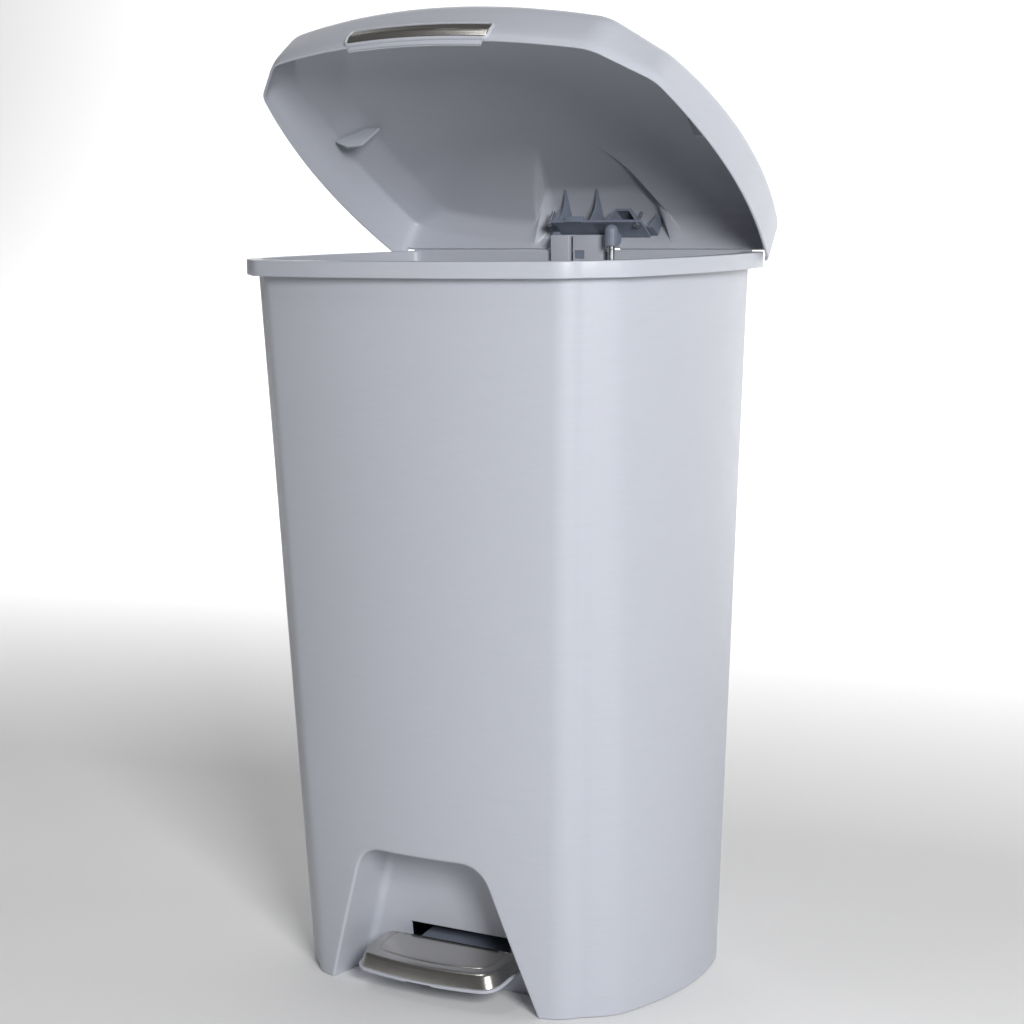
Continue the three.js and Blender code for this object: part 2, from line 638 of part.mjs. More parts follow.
// The arched pad over the rod's head, square to the line from the hinge to the head.
function rodPad(cheek) {
  const low = rod.capRadius + rod.rest;
  const inner = rod.capRadius + 3;
  const left = rod.x - inner - cheek;
  const right = rod.x + inner + cheek;
  const y0 = hinge.y - bracket.padTo;
  const y1 = hinge.y - bracket.padFrom;
  const pad = box(left, right, y0, y1, hinge.z + low, hinge.z + low + bracket.pad);
  const sides = [left, right - cheek].map((x) => (
    box(x, x + cheek, y0, y1, hinge.z + low - bracket.cheekDrop, hinge.z + low + bracket.pad)));
  const geometry = geometryOf(union(pad, ...sides));
  geometry.translate(0, -hinge.y, -hinge.z).rotateX(lidSwing / 2).translate(0, hinge.y, hinge.z);
  const post = box(left, right, hinge.y - 24, hinge.y - 12, hinge.z + 2, bracketZ + 1);
  const clearHead = box(left - 1, right + 1, hinge.y - 50, hinge.y, hinge.z - 30, hinge.z + low);
  const keep = geometryOf(clearHead).translate(0, -hinge.y, -hinge.z).rotateX(lidSwing / 2)
    .translate(0, hinge.y, hinge.z);
  return solid(geometry).add(post.subtract(solid(keep)));
}

function bracketScrew(x, y) {
  return union(
    barZ(smallScrew.headRadius, x, y, bracketZ - gap - smallScrew.headHeight, bracketZ - gap, 16),
    barZ(smallScrew.shankRadius, x, y, bracketZ - gap - 0.5, bracketZ + smallScrew.length, 12),
  );
}

// A fin under the sloped ring, hanging from beside the skirt towards the middle.
function lidFin(side) {
  const along = (fin.y + EDGE.chamferY) / (EDGE.rearY + EDGE.chamferY);
  const bowed = EDGE.chamferHalf + (EDGE.rearHalf - EDGE.chamferHalf) * along;
  const skirt = bowed + 4 * EDGE.sideBulge * along * (1 - along) - lidDraft.chamferHalf;
  const outer = skirt - lidWall - fin.fromSkirt;
  const share = (x) => Math.min((skirt - lidWall - x) / lidRingInset, 1);
  const under = (x) => shoulderZ - lidWall - fin.fromSkirt + lidRingRise * share(x);
  const corners = [
    [0, under(outer)], [0, shoulderZ - fin.outerDrop], [fin.lowInset, shoulderZ - fin.lowDrop],
    [fin.kneeInset, shoulderZ - fin.kneeDrop], [fin.topInset, under(outer - fin.topInset)],
    [lidRingInset, under(outer - lidRingInset)],
  ];
  const shape = new THREE.Shape(corners.map(([inset, z]) => new THREE.Vector2(side * (outer - inset), z)));
  return plateY(shape, fin.y, fin.y + fin.thickness);
}

// A band that follows the lid's front skirt, between two heights, standing off it from d0 to d1.
function frontBand(half, z0, z1, d0, d1) {
  const steps = 10;
  const level = (z) => {
    const t = (z - uprightZ) / (shoulderZ - uprightZ);
    const o = blend(EDGE, SHOULDER, Math.max(t, 0));
    const at = (x, d) => -(o.frontY + o.frontBulge * (1 - (x / o.frontHalf) ** 2)) - d;
    const xs = Array.from({ length: steps + 1 }, (_, i) => -half + 2 * half * i / steps);
    return [...xs.map((x) => [x, at(x, d1)]), ...xs.reverse().map((x) => [x, at(x, d0)])]
      .map(([x, y]) => new THREE.Vector3(x, y, z));
  };
  const heights = z0 < uprightZ ? [z0, uprightZ, z1] : [z0, z1];
  return loft(heights.map(level));
}

function handleSurround() {
  const z0 = edgeZ + handle.bottom;
  const z1 = z0 + handle.height;
  const trimZ = z0 + (handle.height - handle.trimHeight) / 2;
  const pocket = frontBand(handle.trimHalf + gap, trimZ - gap, trimZ + handle.trimHeight + gap,
    handle.stand - handle.trimSheet - gap, handle.stand + 5);
  return cut(frontBand(handle.half, z0, z1, gap, handle.stand), pocket);
}

function handleTrim() {
  const z0 = edgeZ + handle.bottom + (handle.height - handle.trimHeight) / 2;
  const z1 = z0 + handle.trimHeight;
  return frontBand(handle.trimHalf, z0, z1, handle.stand - handle.trimSheet, handle.stand);
}

function addLid() {
  const lid = turned(hinge.y, hinge.z, -lidSwing);
  add(lid, 'lid_shell', lidShell(), GREY);
  add(lid, 'lid_bracket', lidBracket(), SLATE);
  bracketScrews.forEach(([x, y], i) => add(lid, `bracket_screw_${i + 1}`, bracketScrew(x, y), STEEL));
  add(lid, 'lid_fin_left', lidFin(-1), GREY);
  add(lid, 'lid_fin_right', lidFin(1), GREY);
  add(lid, 'handle_surround', handleSurround(), GREY);
  add(lid, 'handle_trim', handleTrim(), STEEL);
}

addBin();
addPedal();
addRod();
addRodHousing();
addHinge();
addLid();

// The origin is under the middle of the modelled pose's bounding box.
const bounds = new THREE.Box3().setFromObject(parts, true);
parts.position.y = -(bounds.min.y + bounds.max.y) / 2;

const pedalTrashCan = new THREE.Group();
pedalTrashCan.add(parts);

export default pedalTrashCan;
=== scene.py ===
"""Step-on trash can: moulded bin, domed hinged lid, steel-capped pedal and push rod.

Lengths inside the shape functions are millimetres in the can's own coordinates:
X to the right, the front towards -Y, Z up from the floor, Y from the middle of the rim's chamfers.
mesh_object() turns them into the metres of the frame.
"""
import json
import math

import bpy
import numpy as np
from mathutils import Matrix, Vector


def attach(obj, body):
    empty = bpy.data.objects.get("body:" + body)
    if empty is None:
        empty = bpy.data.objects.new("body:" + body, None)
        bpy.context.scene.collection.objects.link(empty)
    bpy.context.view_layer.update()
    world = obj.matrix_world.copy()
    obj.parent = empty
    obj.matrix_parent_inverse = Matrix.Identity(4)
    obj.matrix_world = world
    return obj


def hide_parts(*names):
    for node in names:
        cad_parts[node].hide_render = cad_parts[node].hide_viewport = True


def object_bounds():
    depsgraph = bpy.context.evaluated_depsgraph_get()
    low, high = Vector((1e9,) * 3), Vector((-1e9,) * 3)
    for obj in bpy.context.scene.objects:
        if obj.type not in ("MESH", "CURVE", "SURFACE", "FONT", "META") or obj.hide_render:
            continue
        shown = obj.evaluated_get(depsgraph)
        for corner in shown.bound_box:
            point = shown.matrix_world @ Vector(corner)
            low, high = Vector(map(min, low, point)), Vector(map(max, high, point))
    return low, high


bl_info = {
    "name": "Step-on Trash Can",
    "version": (1, 0, 0),
    "blender": (4, 5, 0),
    "location": "3D View > Sidebar > Trash Can",
    "description": "Builds the finished pieces of a step-on trash can around its CAD frame",
    "category": "Add Mesh",
}

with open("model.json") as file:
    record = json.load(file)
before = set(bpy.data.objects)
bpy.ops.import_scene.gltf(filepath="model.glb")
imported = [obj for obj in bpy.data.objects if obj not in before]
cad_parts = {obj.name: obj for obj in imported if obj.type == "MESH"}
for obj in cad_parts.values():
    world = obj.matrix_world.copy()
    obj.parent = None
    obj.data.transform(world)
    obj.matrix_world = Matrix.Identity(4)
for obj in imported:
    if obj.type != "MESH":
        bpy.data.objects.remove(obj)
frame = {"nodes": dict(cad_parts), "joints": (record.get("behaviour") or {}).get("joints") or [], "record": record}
CAD_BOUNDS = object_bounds()

MM = 0.001
JOINTS = {joint["name"]: joint for joint in frame["joints"]}
HINGE = Vector(JOINTS["lid_hinge"]["pos_m"]) / MM
AXLE = Vector(JOINTS["pedal_pivot"]["pos_m"]) / MM
HINGE_Y = 112.4
HINGE_Z = HINGE.z
AXLE_Y = -22.0
AXLE_Z = AXLE.z
SHIFT_Y = HINGE.y - HINGE_Y
LID_OPEN = math.radians(36.5)
PEDAL_TILT = math.radians(10.8)

# ------------------------------------------------------------------ outlines

RIM = dict(front_half=149.5, front_y=154, front_bulge=20, chamfer_half=184.5, chamfer_y=116.5,
           rear_half=179, rear_y=115, side_bulge=16)
FOOT = dict(front_half=120.5, front_y=123, front_bulge=20, chamfer_half=152.5, chamfer_y=89.5,
            rear_half=147, rear_y=87, side_bulge=16)
GROWTH = dict(front_half=0.44, front_y=1, front_bulge=0, chamfer_half=1, chamfer_y=0.4,
              rear_half=1, rear_y=1, side_bulge=0)
RIM_HEIGHT = 600.0
LIP_OVERHANG = 9.0
LIP_WALL = 2.2
FLOOR_TOP = 62.0
FLOOR_SHEET = 2.5
TRIM = dict(front=10, side=8, rear=8)
STRETCH_STEPS = (44, 16, 28, 80, 28, 16)
CORNER_STEPS = 9


def grow(outline, d):
    """The outline moved outwards by d, or inwards when d is negative."""
    return {key: value + GROWTH[key] * d for key, value in outline.items()}


def mix(a, b, t):
    """The outline between a and b."""
    return {key: a[key] + (b[key] - a[key]) * t for key in a}


def body_outline(z, d=0.0):
    """The bin wall's outer outline at height z, moved outwards by d."""
    return grow(mix(FOOT, grow(RIM, -LIP_OVERHANG), z / RIM_HEIGHT), d)


def bow(a, b, bulge, t):
    """Points along a line from a to b that bows outwards by bulge in its middle."""
    along = b - a
    outward = np.array([along[1], -along[0]]) / np.linalg.norm(along)
    return a + np.outer(t, along) + np.outer(4 * bulge * t * (1 - t), outward)


def loop(outline, flute=0.0):
    """The outline as one closed loop of points, and how far each lies along a bowed stretch."""
    o = outline
    corners = [(-o["front_half"], -o["front_y"]), (o["front_half"], -o["front_y"]),
               (o["chamfer_half"], -o["chamfer_y"]), (o["rear_half"], o["rear_y"]),
               (-o["rear_half"], o["rear_y"]), (-o["chamfer_half"], -o["chamfer_y"])]
    corners = [np.array(corner) for corner in corners]
    trims = [TRIM[k] for k in ("front", "front", "side", "rear", "rear", "side")]
    bulges = [o["front_bulge"], 0, o["side_bulge"], 0, o["side_bulge"], 0]
    swell, ends = [], []
    for k, start in enumerate(corners):
        end = corners[(k + 1) % 6]
        length = np.linalg.norm(end - start)
        t = np.linspace(trims[k] / length, 1 - trims[(k + 1) % 6] / length, STRETCH_STEPS[k] + 1)
        stretch = bow(start, end, bulges[k], t)
        if k in (1, 5) and flute:
            from_front = (t if k == 1 else 1 - t) * length
            dip = flute * np.exp(-((from_front - TRIM["front"] - 5) / 7) ** 2)
            normal = np.array([end[1] - start[1], start[0] - end[0]]) / length
            stretch = stretch - np.outer(dip, normal)
        ends.append(stretch)
        swell.append(4 * t * (1 - t) if bulges[k] else np.zeros(len(t)))
    out, lift = [], []
    s = np.linspace(0, 1, CORNER_STEPS + 1)[1:-1, None]
    for k in range(6):
        corner, after = corners[(k + 1) % 6], ends[(k + 1) % 6][0]
        before = ends[k][-1]
        turn = before * (1 - s) ** 2 + corner * 2 * s * (1 - s) + after * s ** 2
        out += [ends[k], turn]
        a, b = swell[k][-1], swell[(k + 1) % 6][0]
        lift += [swell[k], (a * (1 - s) + b * s)[:, 0]]
    return np.vstack(out), np.concatenate(lift)


def ring(outline, z, arch=0.0, **options):
    """A closed loop at height z as rows of x, y, z; arch lifts the middles of the bowed stretches."""
    points, swell = loop(outline, **options)
    return np.column_stack([points, z + arch * swell])


# ------------------------------------------------------------------ skins

def rounded(stations, radii, steps=5):
    """Rings with every inner station turned into a soft bend that starts radius before it."""
    rings = [stations[0]]
    for before, here, after, radius in zip(stations, stations[1:], stations[2:], radii[1:]):
        if radius <= 0:
            rings.append(here)
            continue
        back, ahead = before - here, after - here
        near = np.linalg.norm(back, axis=1, keepdims=True)
        far = np.linalg.norm(ahead, axis=1, keepdims=True)
        a = here + back / near * np.minimum(radius, 0.46 * near)
        b = here + ahead / far * np.minimum(radius, 0.46 * far)
        for s in np.linspace(0, 1, steps + 1):
            rings.append(a * (1 - s) ** 2 + here * 2 * s * (1 - s) + b * s ** 2)
    return rings + [stations[-1]]


def spread(rings, longest):
    """Rings with more put between those that are further apart than longest."""
    out = [rings[0]]
    for low, high in zip(rings, rings[1:]):
        apart = np.linalg.norm(high - low, axis=1).mean()
        count = max(1, math.ceil(apart / longest))
        out += [low + (high - low) * k / count for k in range(1, count + 1)]
    return out


def skin(rings, caps=(True, True)):
    """Vertices and faces that join closed rings into one surface, with flat ends."""
    count = len(rings[0])
    faces = []
    for k in range(len(rings) - 1):
        for i in range(count):
            a, b = k * count + i, k * count + (i + 1) % count
            faces.append((a, b, b + count, a + count))
    if caps[0]:
        faces.append(tuple(reversed(range(count))))
    if caps[1]:
        faces.append(tuple(range((len(rings) - 1) * count, len(rings) * count)))
    return np.vstack(rings), faces


def extrude(section, axis, start, end, edge=0.6, steps=3):
    """A plate of a closed section between two planes across an axis, with soft edges.

    The section's rows are the two other coordinates, in the order x, y, z.
    """
    section = np.array(section, float)
    middle = section.mean(0)

    def level(at, inset):
        away = section - middle
        size = np.linalg.norm(away, axis=1, keepdims=True)
        flat = section - away / size * inset
        return np.insert(flat, axis, at, axis=1)

    way = 1 if end > start else -1
    rings = [level(start, edge)] + [level(start + way * edge * (1 - math.cos(s)), edge * (1 - math.sin(s)))
                                    for s in np.linspace(0, math.pi / 2, steps + 1)[1:]]
    rings += [level(end - way * edge * (1 - math.cos(s)), edge * (1 - math.sin(s)))
              for s in np.linspace(math.pi / 2, 0, steps + 1)[:-1]] + [level(end, edge)]
    return skin(rings)


def soft_section(points, radius, steps=4):
    """A closed flat section with its corners rounded."""
    points = np.array(points, float)
    out = []
    for before, here, after in zip(np.roll(points, 1, 0), points, np.roll(points, -1, 0)):
        back, ahead = before - here, after - here
        a = here + back * min(0.45, radius / np.linalg.norm(back))
        b = here + ahead * min(0.45, radius / np.linalg.norm(ahead))
        for s in np.linspace(0, 1, steps + 1):
            out.append(a * (1 - s) ** 2 + here * 2 * s * (1 - s) + b * s ** 2)
    return np.array(out)


def block(x0, x1, y0, y1, z0, z1, edge=0.6):
    """A box with soft edges."""
    section = soft_section([(x0, y0), (x1, y0), (x1, y1), (x0, y1)], edge * 1.5, 3)
    return extrude(section, 2, z0, z1, edge)


def bar(radius, a, b, edge=0.3, sides=28):
    """A round bar between two points with soft ends."""
    a, b = Vector(a), Vector(b)
    turn = (b - a).to_track_quat("Z", "Y").to_matrix()
    length = (b - a).length
    angles = np.linspace(0, 2 * math.pi, sides, endpoint=False)
    rows = []
    for r, h in ((radius - edge, 0), (radius - edge * 0.3, edge * 0.3), (radius, edge),
                 (radius, length - edge), (radius - edge * 0.3, length - edge * 0.3),
                 (radius - edge, length)):
        circle = np.column_stack([r * np.cos(angles), r * np.sin(angles), np.full(sides, h)])
        rows.append(circle @ np.array(turn).T + np.array(a))
    return skin(rows)


def about(points, y, z, angle):
    """Points turned about an axis along X."""
    c, s = math.cos(angle), math.sin(angle)
    out = np.array(points, float)
    dy, dz = out[:, 1] - y, out[:, 2] - z
    out[:, 1], out[:, 2] = y + dy * c - dz * s, z + dy * s + dz * c
    return out


def opened(points):
    """Points of the closed lid as they stand with the lid held open."""
    return about(points, HINGE_Y, HINGE_Z, -LID_OPEN)


def pressed(points):
    """Points of the level pedal as they stand with the pedal pressed."""
    return about(points, AXLE_Y, AXLE_Z, PEDAL_TILT)


def as_is(points):
    return np.array(points, float)


def mesh_object(name, shapes, pose=as_is):
    """A linked object of one or more shapes, given in millimetres and moved by pose."""
    vertices, faces = [], []
    for points, polygons in shapes:
        base = len(vertices)
        vertices += [tuple(p) for p in (pose(points) + [0, SHIFT_Y, 0]) * MM]
        faces += [tuple(base + i for i in polygon) for polygon in polygons]
    mesh = bpy.data.meshes.new(name)
    mesh.from_pydata(vertices, [], faces)
    mesh.validate()
    shape = bpy.data.objects.new(name, mesh)
    bpy.context.scene.collection.objects.link(shape)
    return shape


def carve(shape, tools, operation="DIFFERENCE"):
    """Cuts tools from a shape, or joins them to it, and removes them."""
    for tool in tools:
        modifier = shape.modifiers.new("carve", "BOOLEAN")
        modifier.operation = operation
        modifier.solver = "MANIFOLD"
        modifier.object = tool
    settled(shape)
    for tool in tools:
        bpy.data.objects.remove(tool)
    return shape


def settled(shape):
    """Bakes a shape's modifiers into its mesh."""
    bpy.context.view_layer.update()
    evaluated = shape.evaluated_get(bpy.context.evaluated_depsgraph_get())
    mesh = bpy.data.meshes.new_from_object(evaluated)
    shape.modifiers.clear()
    old, shape.data = shape.data, mesh
    bpy.data.meshes.remove(old)
    if not mesh.polygons:
        raise RuntimeError(f"{shape.name} came out empty")
    return shape


def shade(shape, degrees=32.0):
    """Smooth shading that keeps edges sharper than the angle."""
    shape.data.shade_smooth()
    shape.data.set_sharp_from_angle(angle=math.radians(degrees))
    return shape


def fit_out(shape, body, material, stands_for=()):
    """Puts a finished piece on its body and in its material."""
    shade(shape)
    shape.data.materials.clear()
    shape.data.materials.append(material)
    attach(shape, body)
    if stands_for:
        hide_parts(*stands_for)
    return shape


# ------------------------------------------------------------------ materials

def linear(code):
    """A linear colour from an sRGB hex value."""
    parts = [int(code[i:i + 2], 16) / 255 for i in (0, 2, 4)]
    return tuple(c / 12.92 if c <= 0.04045 else ((c + 0.055) / 1.055) ** 2.4 for c in parts)


def add_node(tree, kind, inputs=None, **settings):
    """A node with its settings, whose inputs are values or other nodes' outputs."""
    node = tree.nodes.new(kind)
    for key, value in settings.items():
        setattr(node, key, value)
    for key, value in (inputs or {}).items():
        if isinstance(value, bpy.types.NodeSocket):
            tree.links.new(value, node.inputs[key])
        else:
            node.inputs[key].default_value = value
    return node


def start_material(name):
    """An empty node material with its output, and the object's own coordinates."""
    material = bpy.data.materials.get(name)
    if material:
        return material, None, None, None
    material = bpy.data.materials.new(name)
    material.use_nodes = True
    tree = material.node_tree
    tree.nodes.clear()
    shader = add_node(tree, "ShaderNodeBsdfPrincipled")
    add_node(tree, "ShaderNodeOutputMaterial", {"Surface": shader.outputs["BSDF"]})
    where = add_node(tree, "ShaderNodeTexCoord").outputs["Object"]
    return material, tree, shader, where


def grain(tree, where, size_mm, stretch=(1, 1, 1), detail=2.0):
    """Noise whose spots are size_mm across, longer where stretch is below one."""
    mapped = add_node(tree, "ShaderNodeMapping", {"Vector": where, "Scale": stretch})
    return add_node(tree, "ShaderNodeTexNoise", {
        "Vector": mapped.outputs["Vector"], "Scale": 1 / (size_mm * MM), "Detail": detail}).outputs["Fac"]


def varied(colour, share):
    return tuple(c * (1 - share) for c in colour), tuple(min(1, c * (1 + share)) for c in colour)


def spread_value(tree, fac, low, high):
    """fac's middle range turned into low to high."""
    return add_node(tree, "ShaderNodeMapRange", {
        "Value": fac, "From Min": 0.3, "From Max": 0.7, "To Min": low, "To Max": high}).outputs["Result"]


def colour_mix(tree, fac, colour, share):
    """The colour, a little darker and lighter in turn."""
    dark, light = varied(colour, share)
    mixed = add_node(tree, "ShaderNodeMix", data_type="RGBA")
    tree.links.new(fac, mixed.inputs["Factor"])
    colour_inputs = [s for s in mixed.inputs if s.type == "RGBA"]
    colour_inputs[0].default_value = (*dark, 1)
    colour_inputs[1].default_value = (*light, 1)
    return [s for s in mixed.outputs if s.type == "RGBA"][0]


def bumped(tree, height, strength, depth_mm):
    return add_node(tree, "ShaderNodeBump", {
        "Height": height, "Strength": strength, "Distance": depth_mm * MM}).outputs["Normal"]


def moulded_polypropylene(name, colour, roughness, flow_mm=26.0):
    """Injection-moulded polypropylene with a silver pigment.

    The eye sees a broad satin sheen, fine level flow lines and a faint moulding grain.
    The real grain is about 0.1 mm and is drawn at 0.9 mm, so that it still shows.
    """
    material, tree, shader, where = start_material(name)
    if not tree:
        return material
    lines = grain(tree, where, 2.2, (0.07, 0.07, 1.0), 3.0)
    fine = grain(tree, where, 0.9)
    cloud = grain(tree, where, flow_mm)
    tree.links.new(colour_mix(tree, lines, colour, 0.035), shader.inputs["Base Color"])
    tree.links.new(spread_value(tree, cloud, roughness - 0.03, roughness + 0.03),
                   shader.inputs["Roughness"])
    tree.links.new(bumped(tree, fine, 0.10, 0.05), shader.inputs["Normal"])
    shader.inputs["IOR"].default_value = 1.49
    return material


def brushed_steel(name, colour, roughness, along=(0.008, 1.0, 1.0), strength=0.03):
    """Stainless sheet, brushed along its length and then pressed.

    The eye sees fine streaks that stretch the reflections across them.
    Real scratches are about 0.05 mm apart and are drawn at 0.5 mm.
    """
    material, tree, shader, where = start_material(name)
    if not tree:
        return material
    streaks = grain(tree, where, 0.5, along, 4.0)
    tree.links.new(colour_mix(tree, streaks, colour, 0.03), shader.inputs["Base Color"])
    tree.links.new(spread_value(tree, streaks, roughness - 0.03, roughness + 0.03),
                   shader.inputs["Roughness"])
    tree.links.new(bumped(tree, streaks, strength, 0.03), shader.inputs["Normal"])
    shader.inputs["Metallic"].default_value = 1.0
    return material


def zinc_plate(name, colour, roughness):
    """Zinc-plated drawn wire and screws: a cool, slightly cloudy metal."""
    material, tree, shader, where = start_material(name)
    if not tree:
        return material
    cloud = grain(tree, where, 3.0, detail=3.0)
    tree.links.new(colour_mix(tree, cloud, colour, 0.10), shader.inputs["Base Color"])
    tree.links.new(spread_value(tree, cloud, roughness - 0.06, roughness + 0.08),
                   shader.inputs["Roughness"])
    tree.links.new(bumped(tree, cloud, 0.05, 0.05), shader.inputs["Normal"])
    shader.inputs["Metallic"].default_value = 1.0
    return material


def matt_paper(name, colour):
    """Seamless studio paper: a dull, very faintly fibrous white."""
    material, tree, shader, where = start_material(name)
    if not tree:
        return material
    fibres = grain(tree, where, 6.0)
    tree.links.new(colour_mix(tree, fibres, colour, 0.01), shader.inputs["Base Color"])
    shader.inputs["Roughness"].default_value = 0.9
    return material


# ------------------------------------------------------------------ settings

def colour_property(name, description, code):
    return bpy.props.FloatVectorProperty(name=name, description=description, subtype="COLOR", size=3,
                                         min=0, max=1, default=linear(code))


def length_property(name, description, millimetres):
    return bpy.props.FloatProperty(name=name, description=description, subtype="DISTANCE",
                                   unit="LENGTH", default=millimetres * MM)


class CanSizes(bpy.types.PropertyGroup):
    """Sizes of the can's visible details."""

    wall: length_property("Wall", "Thickness of the bin's wall", 2.5)
    lip_depth: length_property("Lip depth", "Height of the folded rim lip", 13)
    lip_edge: length_property("Lip edge", "Softness of the lip's edges", 1.4)
    recess_edge: length_property("Recess edge", "Rounding where the toe recess meets the front", 2.6)
    lid_wall: length_property("Lid wall", "Thickness of the lid's skirt and dome", 2.2)
    lid_shoulder: length_property("Lid shoulder", "Softness of the bend between skirt and top", 9)
    lid_arch: length_property("Lid arch", "Lift of the shoulder in the middle of each side", 3.8)
    flute: length_property("Flute", "Depth of the soft hollow beside the front corners", 1.5)


class CanFinishes(bpy.types.PropertyGroup):
    """Colours and gloss of the can's materials."""

    plastic: colour_property("Grey plastic", "Silver-grey polypropylene", "B2B5BE")
    # Painted shade: the slate colour is the grey plastic darkened to paint the shade under the open lid, where the
    # hinge bracket sits; the parts in the frame's slate_plastic slot get it too.
    slate: colour_property("Shade-darkened plastic", "Grey plastic darkened as painted shade", "78808F")
    steel: colour_property("Steel", "Brushed stainless sheet", "C9C6C1")
    zinc: colour_property("Zinc", "Zinc-plated wire and screws", "B4B6BA")
    paper: colour_property("Studio paper", "Floor and backdrop", "E9E9E9")
    gloss: bpy.props.FloatProperty(name="Plastic roughness", description="Roughness of the grey plastic",
                                   subtype="FACTOR", min=0, max=1, default=0.40)


def sizes():
    return bpy.context.scene.can_sizes


def finishes():
    return bpy.context.scene.can_finishes


def grey_plastic():
    return moulded_polypropylene("moulded_polypropylene_silver", tuple(finishes().plastic),
                                 finishes().gloss)


# Painted shade: a darker copy of the grey polypropylene, standing in for the shade that falls under the open lid.
def slate_plastic():
    return moulded_polypropylene("moulded_polypropylene_painted_shade", tuple(finishes().slate), 0.45)


def sheet_steel():
    return brushed_steel("brushed_stainless", tuple(finishes().steel), 0.24)


def wire_steel():
    return zinc_plate("zinc_plated_wire", tuple(finishes().zinc), 0.32)


def screw_steel():
    return zinc_plate("zinc_plated_screw", tuple(finishes().zinc), 0.38)


# ------------------------------------------------------------------ bin

# Two low beads on the rear rim, either side of the hinge, that close the slit under the open lid.
REAR_BEADS = ((-171, -24), (36, 171))
REAR_BEAD_Y = (105, 108)
REAR_BEAD_RISE = 1.2
PEDAL_SLOT = [(-50, 17), (50, 17), (50, 46), (-50, 46)]
ROD_HOLE_RADIUS = 9.0
RECESS = dict(foot_half=101.5, top_half=58.0, height=121.0, trim=20.0, back_y=-83.0, lean=0.115)


def recess_section(e):
    """The toe recess seen from the front as rows of x and z, grown by e."""
    r = RECESS
    slope = (r["foot_half"] - r["top_half"]) / r["height"]

    def half(z):
        return r["foot_half"] - slope * z + e

    top = r["height"] + e
    low, trim = -14.0, r["trim"]
    sides = np.linspace(low, top - trim, 14)
    right = np.column_stack([[half(z) for z in sides], sides])
    corner = np.array([half(top), top])
    start, end = right[-1], np.array([half(top) - trim, top])
    s = np.linspace(0, 1, 11)[1:-1, None]
    turn = start * (1 - s) ** 2 + corner * 2 * s * (1 - s) + end * s ** 2
    across = np.linspace(end[0], -end[0], 18)
    level = np.column_stack([across, np.full(18, top)])
    left = np.vstack([right, turn])[::-1] * [-1, 1]
    under = np.linspace(-half(low), half(low), 14)[1:-1]
    return np.vstack([right, turn, level, left, np.column_stack([under, np.full(12, low)])])


def front_face(x, z, d=0.0):
    """Depth of the bin's front face at x and z."""
    t = z / RIM_HEIGHT
    half = FOOT["front_half"] + (RIM["front_half"] - 4 - FOOT["front_half"]) * t
    front = FOOT["front_y"] + (RIM["front_y"] - 9 - FOOT["front_y"]) * t
    return -(front + FOOT["front_bulge"] * (1 - (x / half) ** 2)) - d


def recess_rings(grown, mouth, back_round):
    """Rings of the toe recess from outside the front to its leaning back wall."""
    rings = []

    def level(e, y_of):
        section = recess_section(grown + e)
        x, z = section[:, 0], section[:, 1]
        rings.append(np.column_stack([x, y_of(x, z), z]))

    level(mouth + 0.6, lambda x, z: front_face(x, z, 30))
    for angle in np.linspace(0, math.pi / 2, 8):
        deep = mouth * (1 - math.cos(angle))
        level(mouth * (1 - math.sin(angle)), lambda x, z, deep=deep: front_face(x, z, -deep))

    def back(x, z, ahead=0.0):
        return RECESS["back_y"] + grown - RECESS["lean"] * z - ahead + 0 * x

    for angle in np.linspace(0, math.pi / 2, 8):
        ahead = back_round * (1 - math.sin(angle))
        level(-back_round * (1 - math.cos(angle)), lambda x, z, ahead=ahead: back(x, z, ahead))
    return rings


def bin_outside(lip_depth, lip_edge, flute):
    lip_low = RIM_HEIGHT - lip_depth
    at = dict(flute=flute)
    stations = [
        ring(body_outline(0, -1.6), 0, **at), ring(body_outline(0), 0, **at),
        ring(body_outline(RIM_HEIGHT - LIP_WALL), RIM_HEIGHT - LIP_WALL, **at),
        ring(grow(RIM, -LIP_WALL), RIM_HEIGHT - LIP_WALL, **at), ring(grow(RIM, -LIP_WALL), lip_low, **at),
        ring(RIM, lip_low, **at), ring(RIM, RIM_HEIGHT, **at), ring(grow(RIM, -4), RIM_HEIGHT, **at)]
    return spread(rounded(stations, [0, 1.2, 0.8, 0.8, 0.5, 0.8, lip_edge, 0], 4), 16)


def bin_inside(wall, flute):
    at = dict(flute=flute)
    top = RIM_HEIGHT + 0.02
    mouth = body_outline(RIM_HEIGHT, -wall + LIP_WALL)
    stations = [ring(body_outline(FLOOR_TOP, -wall - 16), FLOOR_TOP),
                ring(body_outline(FLOOR_TOP, -wall), FLOOR_TOP),
                ring(body_outline(RIM_HEIGHT, -wall), top, **at), ring(mouth, top, **at),
                ring(mouth, top + 4, **at)]
    return spread(rounded(stations, [0, 10, 1.6, 0, 0], 6), 20)


